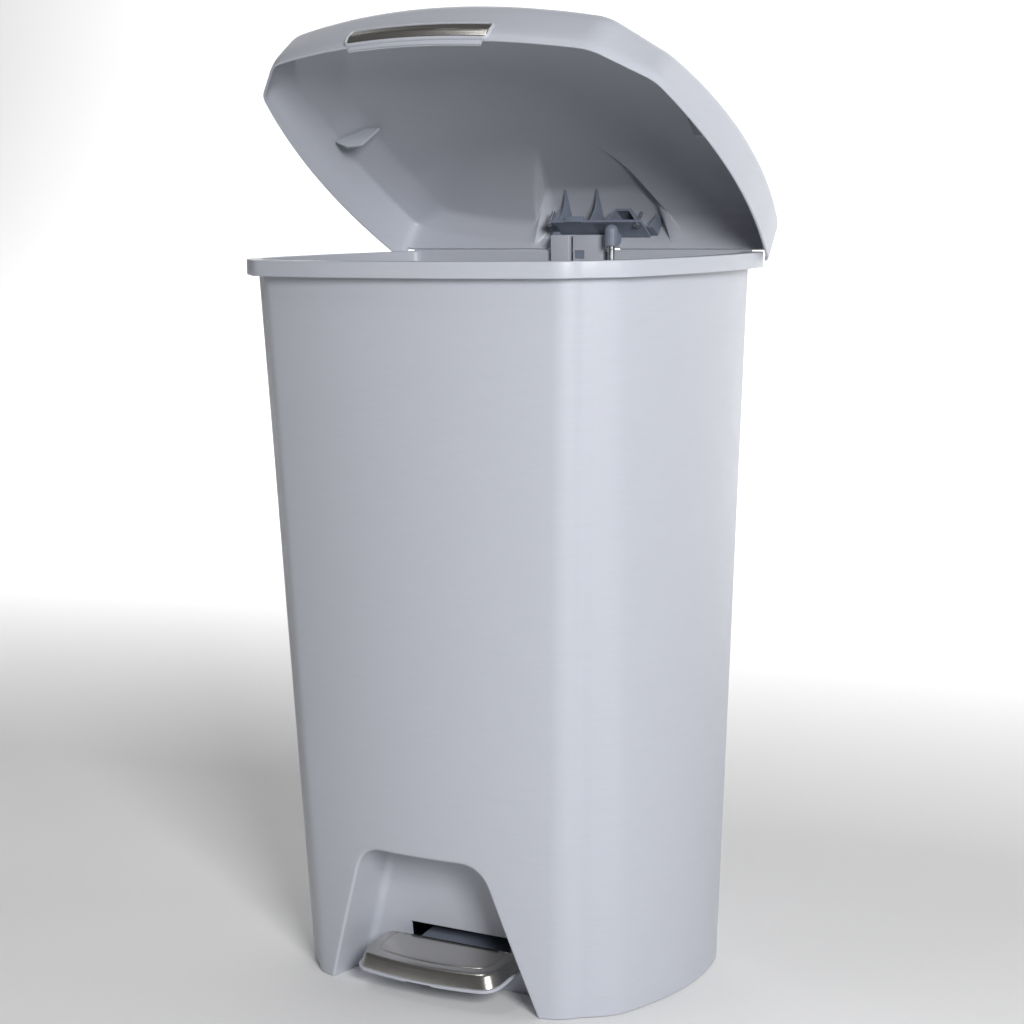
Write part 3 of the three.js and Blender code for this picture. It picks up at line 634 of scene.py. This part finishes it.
def bin_shell():
    s = sizes()
    wall = s.wall / MM
    flute = s.flute / MM
    shell = mesh_object("bin_shell", [skin(bin_outside(s.lip_depth / MM, s.lip_edge / MM, flute))])
    cavity = mesh_object("cavity", [skin(bin_inside(wall, flute))])
    floor_under = FLOOR_TOP - FLOOR_SHEET
    under = mesh_object("under", [skin(spread([ring(body_outline(-3, -wall), -3),
                                               ring(body_outline(floor_under, -wall), floor_under)], 20))])
    for hollow in (cavity, under):
        housing = mesh_object("housing", [skin(spread(recess_rings(wall, 0.5, 4), 14)[::-1])])
        carve(hollow, [housing])
    mouth = s.recess_edge / MM
    recess = mesh_object("recess", [skin(spread(recess_rings(0, mouth, 7), 14)[::-1])])
    bead_top = RIM_HEIGHT + REAR_BEAD_RISE
    beads = [mesh_object("bead", [block(x0, x1, *REAR_BEAD_Y, RIM_HEIGHT - 1, bead_top, 0.4)])
             for x0, x1 in REAR_BEADS]
    carve(shell, beads, "UNION")
    slot = mesh_object("slot", [extrude(soft_section(PEDAL_SLOT, 1.2), 1, -70, -102, 0.1)])
    rod_hole = mesh_object("rod_hole", [bar(ROD_HOLE_RADIUS, (46, 71.9, 50), (46, 72.7, 70))])
    return carve(shell, [cavity, under, recess, slot, rod_hole])


# ------------------------------------------------------------------ lid

LID_EDGE_Z = 592.0
LID_UPRIGHT_Z = 601.5
LID_SHOULDER_Z = 631.5
LID_EDGE = dict(grow(RIM, 5), rear_half=RIM["rear_half"] + 7.5)
LID_SHOULDER = dict(LID_EDGE, front_half=152.3, front_y=149.0, chamfer_half=183.0, chamfer_y=102.8,
                    rear_half=185.5, rear_y=119.0)
RING_INSET = 28.0
LID_CROWN = dict(grow(LID_SHOULDER, -RING_INSET), front_half=LID_SHOULDER["front_half"] - RING_INSET,
                 chamfer_y=LID_SHOULDER["chamfer_y"] - RING_INSET)
RING_RISE = 17.0
DOME_RISE = 6.5
REAR_SAG = 24.0
REAR_RING = 9.0
HUMP = (-34.0, 76.0)
REAR_CUT = 4.3
HINGE_CUT = 6.0
HINGE_ROOM_X = (-27.3, 39.7)


def towards_middle(points, share, z):
    middle = (LID_SHOULDER["rear_y"] - LID_SHOULDER["front_y"]) / 2
    out = np.array(points)
    out[:, 0] *= share
    out[:, 1] = middle + (out[:, 1] - middle) * share
    out[:, 2] = z
    return out


def ease(t):
    t = np.clip(t, 0, 1)
    return t * t * (3 - 2 * t)


def sagged(points, back=0.0):
    """A ring of the lid whose rear dips, except over the hump that makes room for the hinge."""
    out = np.array(points)
    x, y = out[:, 0], out[:, 1]
    beside = np.maximum(ease((HUMP[0] - x) / 14), ease((x - HUMP[1]) / 14))
    share = ease((y - 62) / 26) * beside
    out[:, 2] -= REAR_SAG * share * np.clip(1 - (x / 180) ** 2, 0, 1)
    out[:, 1] += back * share * ease((165 - abs(x)) / 22)
    return out


def lid_stations(d, arch):
    """Stations of the lid's skin from its edge to its top, moved inwards by d."""
    top = LID_SHOULDER_Z + RING_RISE - d
    crown = ring(grow(LID_CROWN, -d), top)
    return [ring(grow(LID_EDGE, -d), LID_EDGE_Z), ring(grow(LID_EDGE, -d), LID_UPRIGHT_Z),
            sagged(ring(grow(LID_SHOULDER, -d), LID_SHOULDER_Z - d, arch=arch)),
            sagged(crown, RING_INSET - REAR_RING),
            towards_middle(crown, 0.62, top + 0.7 * DOME_RISE),
            towards_middle(crown, 0.15, top + DOME_RISE)]


def lid_moulding():
    s = sizes()
    wall, shoulder, arch = s.lid_wall / MM, s.lid_shoulder / MM, s.lid_arch / MM
    outside = rounded(lid_stations(0, arch), [0, 12, shoulder, 6, 40, 0], 8)
    inside = rounded(lid_stations(wall, arch), [0, 12, shoulder - 6, 6, 40, 0], 8)
    first, last = outside[0], inside[0]
    rings = outside[:0:-1] + [first + [0, 0, 0.7], first * 0.7 + last * 0.3, first * 0.3 + last * 0.7,
                              last + [0, 0, 0.7]] + inside[1:]
    lid = mesh_object("lid_moulding", [skin(spread(rings, 14)[::-1])])
    clear = RIM["rear_half"] + 4.5
    behind = (HINGE_Y - 12, 135, 585)
    notch = mesh_object("notch", [block(-clear, clear, *behind, RIM_HEIGHT + REAR_CUT, 1.0)])
    hinge_room = mesh_object("hinge_room", [block(*HINGE_ROOM_X, *behind, RIM_HEIGHT + HINGE_CUT, 1.0)])
    carve(lid, [notch, hinge_room])
    lid.data.transform(lid_swing())
    return lid


def lid_swing():
    """The turn that opens the closed lid, in the frame's metres."""
    centre = Vector((0, HINGE_Y + SHIFT_Y, HINGE_Z)) * MM
    return Matrix.Translation(centre) @ Matrix.Rotation(-LID_OPEN, 4, "X") @ Matrix.Translation(-centre)


def lid_ceiling(y):
    """Height of the closed lid's inner face over its rear ring, at depth y."""
    share = min((LID_SHOULDER["rear_y"] - 2.2 - y) / RING_INSET, 1)
    return LID_SHOULDER_Z + RING_RISE * share - 2.2


def smooth_path(points, steps=8):
    """A path through the points without corners."""
    points = [np.array(p, float) for p in points]
    points = [2 * points[0] - points[1]] + points + [2 * points[-1] - points[-2]]
    out = []
    for a, b, c, d in zip(points, points[1:], points[2:], points[3:]):
        for s in np.linspace(0, 1, steps, endpoint=False):
            out.append(0.5 * (2 * b + (c - a) * s + (2 * a - 5 * b + 4 * c - d) * s ** 2
                              + (3 * b - a - 3 * c + d) * s ** 3))
    return np.array(out + [points[-2]])


def lid_fin(side):
    """A thin fin that hangs from the sloped ring beside the skirt."""
    section = [(side * x, z) for x, z in
               ((194.2, 628), (193.5, 626.5), (180, 621.3), (165, 622.5), (152.5, 640.6), (167, 640.6))]
    if side < 0:
        section = section[::-1]
    name = "lid_web_" + ("left" if side < 0 else "right")
    return mesh_object(name, [extrude(soft_section(section, 1.2), 1, -12, -9.6, 0.5)], opened)


# ------------------------------------------------------------------ handle

def skirt_face(x, z, d):
    """Depth of the closed lid's front skirt at x and z, standing off it by d."""
    t = np.clip((z - LID_UPRIGHT_Z) / (LID_SHOULDER_Z - LID_UPRIGHT_Z), 0, 1)
    half = LID_EDGE["front_half"] + (LID_SHOULDER["front_half"] - LID_EDGE["front_half"]) * t
    front = LID_EDGE["front_y"] + (LID_SHOULDER["front_y"] - LID_EDGE["front_y"]) * t
    return -(front + LID_EDGE["front_bulge"] * (1 - (x / half) ** 2)) - d


def handle_loop(half, low, high, corner, e, d):
    """A rounded rectangle on the front skirt, grown by e and standing off it by d."""
    half, low, high = half + e, low - e, high + e
    corner = max(corner + e, 0.8)
    xs = np.linspace(-half + corner, half - corner, 40)
    zs = np.linspace(low + corner, high - corner, 6)
    turns = np.linspace(0, math.pi / 2, 7)[1:-1]

    def arc(cx, cz, start):
        return np.column_stack([cx + corner * np.cos(start + turns), cz + corner * np.sin(start + turns)])

    flat = np.vstack([
        np.column_stack([xs, np.full(40, low)]), arc(half - corner, low + corner, -math.pi / 2),
        np.column_stack([np.full(6, half), zs]), arc(half - corner, high - corner, 0),
        np.column_stack([xs[::-1], np.full(40, high)]), arc(-half + corner, high - corner, math.pi / 2),
        np.column_stack([np.full(6, -half), zs[::-1]]), arc(-half + corner, low + corner, math.pi)])
    return np.column_stack([flat[:, 0], skirt_face(flat[:, 0], flat[:, 1], d), flat[:, 1]])


STRIP = dict(half=66.5, low=595.0, high=608.2, corner=3.0)


def handle_rings(pairs, radii, steps):
    """Skin of rings round the handle's strip, each grown by e and standing off the skirt by d."""
    return skin(rounded([handle_loop(*STRIP.values(), e, d) for e, d in pairs], radii, steps))


def handle_bezel():
    """The moulded frame round the strip, and the grip that hangs below it."""
    profile = ((2.9, 0.2), (2.6, 1.6), (1.9, 2.4), (0.9, 2.4), (0.2, 0.6))
    frame_rings = handle_rings(profile, [0, 0.6, 0.6, 0.5, 0], 4)
    xs = np.linspace(-63, 63, 40)
    rings = []
    for z, inner, outer in ((588.4, -1.4, -0.6), (588.0, -2.0, 0.0), (592.6, -2.0, 0.0)):
        front = np.column_stack([xs, skirt_face(xs, np.full(40, z), outer), np.full(40, z)])
        rear = np.column_stack([xs, skirt_face(xs, np.full(40, z), inner), np.full(40, z)])
        rings.append(np.vstack([front, rear[::-1]]))
    return mesh_object("handle_bezel", [frame_rings, skin(rings)], opened)


def handle_steel():
    pairs = ((0.1, 0.7), (0.1, 1.3), (-0.4, 1.7), (-3.0, 1.6), (-6.2, 1.6))
    return mesh_object("handle_steel", [handle_rings(pairs, [0, 0.3, 0.4, 1, 0], 4)], opened)


# ------------------------------------------------------------------ hinge

def hinge_block(x0, x1):
    """A saddle on the rear rim that holds the hinge pin, drawn in Y and Z."""
    front, seat, top = 97.0, RIM_HEIGHT + 0.3, HINGE_Z + 4.5
    wall_y = body_outline(585, -2.5)["rear_y"] - 0.3
    nose = [(HINGE_Y + 4.5 * math.sin(a), HINGE_Z + 4.5 * math.cos(a)) for a in np.linspace(0, 2.9, 12)]
    section = [(front, 585), (wall_y, 585), (wall_y, seat), (HINGE_Y - 0.6, seat)]
    section += nose[::-1] + [(front, top)]
    return extrude(soft_section(section, 0.9, 3), 0, x0, x1, 0.5)


def hinge_blocks():
    left = mesh_object("hinge_saddle_left", [hinge_block(-20, -1.5)])
    right = mesh_object("hinge_saddle_right", [hinge_block(2.6, 32.4)])
    pocket = mesh_object("pocket", [block(4.1, 14.1, 95, 99.6, 594, 601, 0.4)])
    carve(right, [pocket])
    return left, right


def blade(x, sheet=1.8):
    """A tall rib with a hollow front edge that reaches up under the dome."""
    top = lid_ceiling(86) - 0.8
    front = [(0, 94.5, 617.6), (0, 95.6, 624), (0, 95.0, 632), (0, 92.4, 638.6), (0, 88, top)]
    front = smooth_path(front, 6)[:, 1:]
    back = [(y, lid_ceiling(y) - 1) for y in (90, 104, 115.5)] + [(115.5, 617.6)]
    section = np.vstack([front, back])
    return extrude(section, 0, x - sheet / 2, x + sheet / 2, 0.3, 2)


def lid_bracket():
    """The hinge bracket under the lid: plate, ribs, left cheek, roof over the rod and knuckles."""
    z0 = HINGE_Z + 5.4
    z1 = z0 + 2.5
    shapes = [block(-27, 68, 94, 116.2, z0, z1, 0.5), blade(-15), blade(17)]
    shapes.append(block(-8, 10, 93.2, 95.2, z0, z1 + 3.2, 0.4))
    cheek = [(-27, z0), (-18, z0), (-18, z0 + 14), (-21, z0 + 16)]
    shapes.append(extrude(soft_section(cheek, 0.8), 1, 98, 108, 0.4))
    roof = [(19, z0), (29, z0 + 1), (37.5, z0 + 15.5), (52.5, z0 + 15.5), (66, z0 + 1), (63, z0 + 1),
            (51.3, z0 + 13.3), (38.8, z0 + 13.3), (31.5, z0)]
    shapes.append(extrude(roof, 1, 96, 115.5, 0.3))
    shapes.append(extrude([(69, z1 - 1), (75, z1 - 1), (75, z1 + 14)], 1, 104, 115.5, 0.3))
    for x0 in (-27.3, 32.7):
        shapes.append(bar(4.5, (x0, HINGE_Y, HINGE_Z), (x0 + 7, HINGE_Y, HINGE_Z), 0.4))
        shapes.append(block(x0 + 0.1, x0 + 6.9, HINGE_Y - 4, HINGE_Y + 3, HINGE_Z, z0 + 1, 0.4))
    return mesh_object("hinge_bracket", shapes, opened)


# ------------------------------------------------------------------ pedal

def pedal_loop(inset, z):
    """The pedal's outline at height z, moved inwards by inset: bowed front, rounded corners."""
    half, front, rear = 70 - inset, 143 - inset, 97.5
    corner, rear_corner, bulge = 16 - inset * 0.5, 5.0, 6.5
    rear_y = -rear
    xs = np.linspace(-half + corner, half - corner, 26)
    bowed = -front - bulge * (1 - (xs / half) ** 2)
    edge_y = -front - bulge * (1 - ((half - corner) / half) ** 2)
    side_y = -front + corner
    s = np.linspace(0, 1, 9)[1:-1, None]

    def turn(a, c, b):
        a, c, b = np.array(a), np.array(c), np.array(b)
        return a * (1 - s) ** 2 + c * 2 * s * (1 - s) + b * s ** 2

    left = turn((-half, side_y), (-half, edge_y + 2.0), (-half + corner, edge_y))
    right = turn((half - corner, edge_y), (half, edge_y + 2.0), (half, side_y))
    ys = np.linspace(side_y, rear_y - rear_corner, 6)
    rear_right = turn((half, rear_y - rear_corner), (half, rear_y), (half - rear_corner, rear_y))
    rear_left = turn((-half + rear_corner, rear_y), (-half, rear_y), (-half, rear_y - rear_corner))
    back = np.linspace(half - rear_corner, -half + rear_corner, 14)
    flat = np.vstack([
        left, np.column_stack([xs, bowed]), right, np.column_stack([np.full(6, half), ys]), rear_right,
        np.column_stack([back, np.full(14, rear_y)]), rear_left,
        np.column_stack([np.full(6, -half), ys[::-1]])])
    return np.column_stack([flat, np.full(len(flat), z)])


def pedal_steel():
    """The pressed steel cap: a flared skirt, a rounded top edge and a panel with a sunk border."""
    stations = [pedal_loop(2.4, 42.9), pedal_loop(1.4, 42.9), pedal_loop(6.2, 53.6), pedal_loop(13.5, 53.6),
                pedal_loop(14.2, 53.0), pedal_loop(15.2, 53.0), pedal_loop(16.0, 53.6),
                pedal_loop(20, 53.8)]
    rings = rounded(stations, [0, 0.3, 3.2, 0.5, 0.4, 0.4, 0.6, 0], 6)
    return mesh_object("pedal_steel_cap", [skin(rings)], pressed)


def pedal_foot():
    """The plastic base under the steel cap, with a thin lip that shows below it."""
    stations = [pedal_loop(2.0, 39.9), pedal_loop(0.0, 39.9), pedal_loop(0.0, 42.5), pedal_loop(6.0, 42.5)]
    rings = rounded(stations, [0, 0.8, 0.5, 0], 4)
    foot = mesh_object("pedal_foot", [skin(rings)], pressed)
    notch = mesh_object("notch", [block(-13, 13, -153, -147.6, 39.0, 41.2, 0.3)], pressed)
    return carve(foot, [notch])


# ------------------------------------------------------------------ operators

class TRASHCAN_OT_bin(bpy.types.Operator):
    """Builds the bin shell with its rim lip and toe recess"""

    bl_idname = "trashcan.bin"
    bl_label = "Bin Shell"

    def execute(self, context):
        fit_out(bin_shell(), "bin", grey_plastic(), ["bin_body"])
        return {"FINISHED"}


class TRASHCAN_OT_lid(bpy.types.Operator):
    """Builds the domed lid and its two fins"""

    bl_idname = "trashcan.lid"
    bl_label = "Lid"

    def execute(self, context):
        fit_out(lid_moulding(), "lid", grey_plastic(), ["lid_shell"])
        fit_out(lid_fin(-1), "lid", grey_plastic(), ["lid_fin_left"])
        fit_out(lid_fin(1), "lid", grey_plastic(), ["lid_fin_right"])
        return {"FINISHED"}


class TRASHCAN_OT_handle(bpy.types.Operator):
    """Builds the lid's handle bezel and its steel strip"""

    bl_idname = "trashcan.handle"
    bl_label = "Lid Handle"

    def execute(self, context):
        fit_out(handle_bezel(), "lid", grey_plastic(), ["handle_surround"])
        fit_out(handle_steel(), "lid", sheet_steel(), ["handle_trim"])
        return {"FINISHED"}


class TRASHCAN_OT_hinge(bpy.types.Operator):
    """Builds the hinge saddles on the rim and the bracket under the lid"""

    bl_idname = "trashcan.hinge"
    bl_label = "Hinge"

    def execute(self, context):
        left, right = hinge_blocks()
        fit_out(left, "bin", grey_plastic(), ["hinge_block_left"])
        fit_out(right, "bin", grey_plastic(), ["hinge_block_right"])
        # The bracket is moulded in the lid's grey plastic; the slate material paints the shade it stands in under
        # the open lid.
        fit_out(lid_bracket(), "lid", slate_plastic(), ["lid_bracket"])
        return {"FINISHED"}


class TRASHCAN_OT_pedal(bpy.types.Operator):
    """Builds the pedal's steel cap and the plastic base under it"""

    bl_idname = "trashcan.pedal"
    bl_label = "Pedal"

    def execute(self, context):
        fit_out(pedal_steel(), "pedal", sheet_steel(), ["pedal_cover"])
        fit_out(pedal_foot(), "pedal", grey_plastic(), ["pedal_tread"])
        return {"FINISHED"}


class TRASHCAN_OT_mechanism(bpy.types.Operator):
    """Gives the lever, rod, guides, base and screws their materials and soft edges"""

    bl_idname = "trashcan.mechanism"
    bl_label = "Mechanism"

    def execute(self, context):
        # slate_plastic is the frame's slot name; the material behind it is the grey plastic darkened as painted
        # shade.
        looks = {"grey_plastic": grey_plastic(), "slate_plastic": slate_plastic(),
                 "brushed_steel": sheet_steel(), "rod_steel": wire_steel(), "screw_steel": screw_steel()}
        slots = {part["node"]: part["material_slot"] for part in frame["record"]["subparts"]}
        for name, node in sorted(frame["nodes"].items()):
            if node.hide_render:
                continue
            node.data.materials.clear()
            node.data.materials.append(looks[slots[name]])
            edges = node.modifiers.new("soft edges", "BEVEL")
            edges.width = 0.35 * MM
            edges.segments = 2
            edges.limit_method = "ANGLE"
            edges.angle_limit = math.radians(40)
        return {"FINISHED"}


def area_light(name, location, target, size, power):
    light = bpy.data.lights.new(name, "AREA")
    light.shape = "RECTANGLE"
    light.size, light.size_y = size
    light.energy = power
    lamp = bpy.data.objects.new(name, light)
    lamp.location = location
    lamp.rotation_euler = (Vector(target) - Vector(location)).to_track_quat("-Z", "Y").to_euler()
    bpy.context.scene.collection.objects.link(lamp)


def aim_camera():
    """A long lens two metres away, a little above the rim, turned to the front-right corner."""
    azimuth, pitch, roll = (math.radians(a) for a in (33.34, -7.53, -0.82))
    ahead = Vector((-math.sin(azimuth), math.cos(azimuth), 0))
    forward = ahead * math.cos(pitch) + Vector((0, 0, math.sin(pitch)))
    right = ahead.cross(Vector((0, 0, 1)))
    up = right.cross(forward)
    across = right * math.cos(roll) + up * math.sin(roll)
    over = up * math.cos(roll) - right * math.sin(roll)
    camera = bpy.data.objects.new("camera", bpy.data.cameras.new("camera"))
    camera.data.lens = 85
    camera.data.sensor_width = 36
    camera.data.clip_start = 0.05
    camera.data.clip_end = 200
    turn = Matrix((across, over, -forward)).transposed().to_4x4()
    camera.matrix_world = Matrix.Translation(Vector((1108.1, -1684.6 + SHIFT_Y, 651.3)) * MM) @ turn
    bpy.context.scene.collection.objects.link(camera)
    bpy.context.scene.camera = camera


class TRASHCAN_OT_stage(bpy.types.Operator):
    """Lays the paper floor with its swept-up back, hangs the soft lights and sets up the camera"""

    bl_idname = "trashcan.stage"
    bl_label = "Studio Stage"

    def execute(self, context):
        reach = 40.0
        floor_z = CAD_BOUNDS[0].z - 0.0004
        bend, start = 2.5, 5.0
        sweep = [(-reach, 0.0), (start, 0.0)]
        sweep += [(start + bend * math.sin(a), bend - bend * math.cos(a))
                  for a in np.linspace(0.1, math.pi / 2, 12)]
        sweep.append((start + bend, 9.0))
        corners = [(x, y, floor_z + z) for x in (-reach, reach) for y, z in sweep]
        count = len(sweep)
        mesh = bpy.data.meshes.new("paper_floor")
        mesh.from_pydata(corners, [], [(k, count + k, count + k + 1, k + 1) for k in range(count - 1)])
        mesh.shade_smooth()
        mesh.materials.append(matt_paper("studio_paper", tuple(finishes().paper)))
        floor = bpy.data.objects.new("paper_floor", mesh)
        context.scene.collection.objects.link(floor)
        world = bpy.data.worlds.new("studio")
        world.use_nodes = True
        background = world.node_tree.nodes["Background"]
        background.inputs["Color"].default_value = (1, 1, 1, 1)
        background.inputs["Strength"].default_value = 0.10
        context.scene.world = world
        context.scene.view_settings.view_transform = "Standard"
        middle = (0, 0, 0.35)
        area_light("key_right", (2.5, -2.35, 1.5), (0, 0, 0.5), (0.8, 1.0), 118)
        area_light("side_right", (2.6, 0.9, 1.5), middle, (1.0, 1.6), 9)
        area_light("strip_over", (-0.5, -0.9, 2.6), (0, 0, 0.7), (0.7, 0.7), 6)
        area_light("rear_left", (-1.8, 1.8, 1.8), middle, (1.4, 1.8), 8)
        area_light("backdrop", (-1.0, 2.2, 4.0), (-1.5, 7.5, 1.6), (9.0, 2.0), 900)
        aim_camera()
        return {"FINISHED"}


class TRASHCAN_PT_panel(bpy.types.Panel):
    """Lists the can's sizes, finishes and pieces"""

    bl_idname = "TRASHCAN_PT_panel"
    bl_label = "Step-on Trash Can"
    bl_space_type = "VIEW_3D"
    bl_region_type = "UI"
    bl_category = "Trash Can"

    def draw(self, context):
        for settings in (context.scene.can_sizes, context.scene.can_finishes):
            box = self.layout.box()
            for key in settings.__annotations__:
                box.prop(settings, key)
        for operator in PIECES:
            self.layout.operator(operator.bl_idname)


PIECES = (TRASHCAN_OT_bin, TRASHCAN_OT_lid, TRASHCAN_OT_handle, TRASHCAN_OT_hinge, TRASHCAN_OT_pedal,
          TRASHCAN_OT_mechanism, TRASHCAN_OT_stage)
CLASSES = (CanSizes, CanFinishes, *PIECES, TRASHCAN_PT_panel)


def register():
    for cls in CLASSES:
        bpy.utils.register_class(cls)
    bpy.types.Scene.can_sizes = bpy.props.PointerProperty(type=CanSizes)
    bpy.types.Scene.can_finishes = bpy.props.PointerProperty(type=CanFinishes)


def unregister():
    del bpy.types.Scene.can_finishes
    del bpy.types.Scene.can_sizes
    for cls in reversed(CLASSES):
        bpy.utils.unregister_class(cls)


def main():
    register()
    bpy.ops.trashcan.bin()
    bpy.ops.trashcan.lid()
    bpy.ops.trashcan.handle()
    bpy.ops.trashcan.hinge()
    bpy.ops.trashcan.pedal()
    bpy.ops.trashcan.mechanism()
    bpy.ops.trashcan.stage()


if __name__ == "__main__":
    main()
